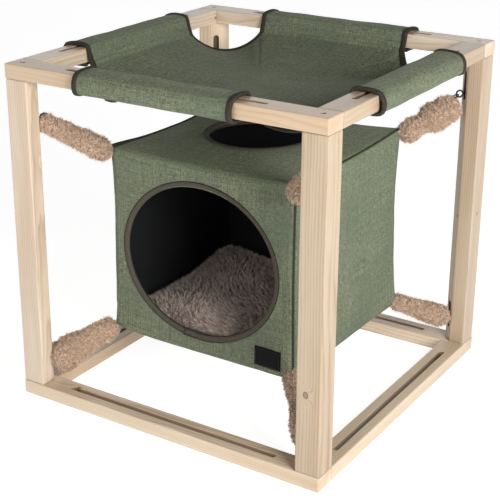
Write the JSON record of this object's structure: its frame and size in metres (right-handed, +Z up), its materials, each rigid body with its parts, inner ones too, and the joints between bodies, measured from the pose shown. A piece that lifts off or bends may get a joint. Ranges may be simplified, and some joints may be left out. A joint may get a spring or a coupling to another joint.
{
  "type": "cat hammock",
  "caption": "Pine cube frame with a cloth hammock sleeved over its top rails and a soft cat cave hung inside on plush elastic straps, with a round doorway and a fleece cushion.",
  "frame": {"origin": "on the floor under the middle of the cube frame", "axes": "+Z up, -Y the front with the pod's doorway, +X to the right"},
  "size_m": [0.5152, 0.5152, 0.5057],
  "materials": {
    "pine": "bare sanded pine",
    "birch": "fluted dowel, bare",
    "dark_steel": "dark bronzed",
    "green_cloth": "flecked woven cloth",
    "black_lining": "matt felt",
    "binding_tape": "ribbed tape",
    "black_label": "plain woven, bare",
    "beige_plush": "curly plush",
    "brown_fleece": "long-pile fleece"
  },
  "bodies": {
    "frame": {"bottom_rail_front": "pine", "bottom_rail_back": "pine", "bottom_rail_left": "pine", "bottom_rail_right": "pine", "top_rail_front": "pine", "top_rail_back": "pine", "top_rail_left": "pine", "top_rail_right": "pine", "post_back_right": "pine", "post_back_left": "pine", "post_front_left": "pine", "post_front_right": "pine", "bottom_screw_back_right": "dark_steel", "bottom_dowel_back_right": "birch", "bottom_screw_back_left": "dark_steel", "bottom_dowel_back_left": "birch", "bottom_screw_front_left": "dark_steel", "bottom_dowel_front_left": "birch", "bottom_screw_front_right": "dark_steel", "bottom_dowel_front_right": "birch", "top_screw_back_right": "dark_steel", "top_dowel_back_right": "birch", "top_screw_back_left": "dark_steel", "top_dowel_back_left": "birch", "top_screw_front_left": "dark_steel", "top_dowel_front_left": "birch", "top_screw_front_right": "dark_steel", "top_dowel_front_right": "birch", "screw_eye_lower_back_right": "dark_steel", "screw_eye_lower_back_left": "dark_steel", "screw_eye_lower_front_left": "dark_steel", "screw_eye_lower_front_right": "dark_steel", "screw_eye_upper_back_right": "dark_steel", "screw_eye_upper_back_left": "dark_steel", "screw_eye_upper_front_left": "dark_steel", "screw_eye_upper_front_right": "dark_steel", "hammock_sheet": "green_cloth"},
    "pod": {"pod_cover": "green_cloth", "pod_lining": "black_lining", "door_binding": "binding_tape", "top_opening_binding": "binding_tape", "blank_label": "black_label"},
    "cushion": {"cushion": "brown_fleece"},
    "strap_lower_back_right": {"strap_hook_lower_back_right": "dark_steel", "strap_lower_back_right": "beige_plush"},
    "strap_lower_back_left": {"strap_hook_lower_back_left": "dark_steel", "strap_lower_back_left": "beige_plush"},
    "strap_lower_front_left": {"strap_hook_lower_front_left": "dark_steel", "strap_lower_front_left": "beige_plush"},
    "strap_lower_front_right": {"strap_hook_lower_front_right": "dark_steel", "strap_lower_front_right": "beige_plush"},
    "strap_upper_back_right": {"strap_hook_upper_back_right": "dark_steel", "strap_upper_back_right": "beige_plush"},
    "strap_upper_back_left": {"strap_hook_upper_back_left": "dark_steel", "strap_upper_back_left": "beige_plush"},
    "strap_upper_front_left": {"strap_hook_upper_front_left": "dark_steel", "strap_upper_front_left": "beige_plush"},
    "strap_upper_front_right": {"strap_hook_upper_front_right": "dark_steel", "strap_upper_front_right": "beige_plush"}
  },
  "joints": [
    {"name": "pod_bounce", "type": "slide", "parent": "frame", "child": "pod", "axis": [0, 0, 1], "range_m": [-0.03, 0.012], "stiffness_N_per_m": 2000, "springref_m": 0.0076, "deforming": ["strap_lower_back_right", "strap_lower_back_left", "strap_lower_front_left", "strap_lower_front_right", "strap_upper_back_right", "strap_upper_back_left", "strap_upper_front_left", "strap_upper_front_right"]},
    {"name": "cushion_lift", "type": "slide", "parent": "pod", "child": "cushion", "axis": [0, 0, 1], "range_m": [0, 0.05]},
    {"name": "hook_turn_lower_back_right", "type": "hinge", "parent": "frame", "child": "strap_lower_back_right", "pos_m": [0.2146, 0.2146, 0.055], "axis": [-0.7071, 0.7071, 0], "range_deg": [-17, 8]},
    {"name": "hook_turn_lower_back_left", "type": "hinge", "parent": "frame", "child": "strap_lower_back_left", "pos_m": [-0.2146, 0.2146, 0.055], "axis": [-0.7071, -0.7071, 0], "range_deg": [-17, 8]},
    {"name": "hook_turn_lower_front_left", "type": "hinge", "parent": "frame", "child": "strap_lower_front_left", "pos_m": [-0.2146, -0.2146, 0.055], "axis": [0.7071, -0.7071, 0], "range_deg": [-17, 8]},
    {"name": "hook_turn_lower_front_right", "type": "hinge", "parent": "frame", "child": "strap_lower_front_right", "pos_m": [0.2146, -0.2146, 0.055], "axis": [0.7071, 0.7071, 0], "range_deg": [-17, 8]},
    {"name": "hook_turn_upper_back_right", "type": "hinge", "parent": "frame", "child": "strap_upper_back_right", "pos_m": [0.2146, 0.2146, 0.422], "axis": [-0.7071, 0.7071, 0], "range_deg": [-17, 8]},
    {"name": "hook_turn_upper_back_left", "type": "hinge", "parent": "frame", "child": "strap_upper_back_left", "pos_m": [-0.2146, 0.2146, 0.422], "axis": [-0.7071, -0.7071, 0], "range_deg": [-17, 8]},
    {"name": "hook_turn_upper_front_left", "type": "hinge", "parent": "frame", "child": "strap_upper_front_left", "pos_m": [-0.2146, -0.2146, 0.422], "axis": [0.7071, -0.7071, 0], "range_deg": [-17, 8]},
    {"name": "hook_turn_upper_front_right", "type": "hinge", "parent": "frame", "child": "strap_upper_front_right", "pos_m": [0.2146, -0.2146, 0.422], "axis": [0.7071, 0.7071, 0], "range_deg": [-17, 8]}
  ],
  "couplings": [
    {"joint": "hook_turn_lower_back_right", "follows": "pod_bounce", "rad_per_m": 9},
    {"joint": "hook_turn_lower_back_left", "follows": "pod_bounce", "rad_per_m": 9},
    {"joint": "hook_turn_lower_front_left", "follows": "pod_bounce", "rad_per_m": 9},
    {"joint": "hook_turn_lower_front_right", "follows": "pod_bounce", "rad_per_m": 9},
    {"joint": "hook_turn_upper_back_right", "follows": "pod_bounce", "rad_per_m": 7.1},
    {"joint": "hook_turn_upper_back_left", "follows": "pod_bounce", "rad_per_m": 7.1},
    {"joint": "hook_turn_upper_front_left", "follows": "pod_bounce", "rad_per_m": 7.1},
    {"joint": "hook_turn_upper_front_right", "follows": "pod_bounce", "rad_per_m": 7.1}
  ]
}
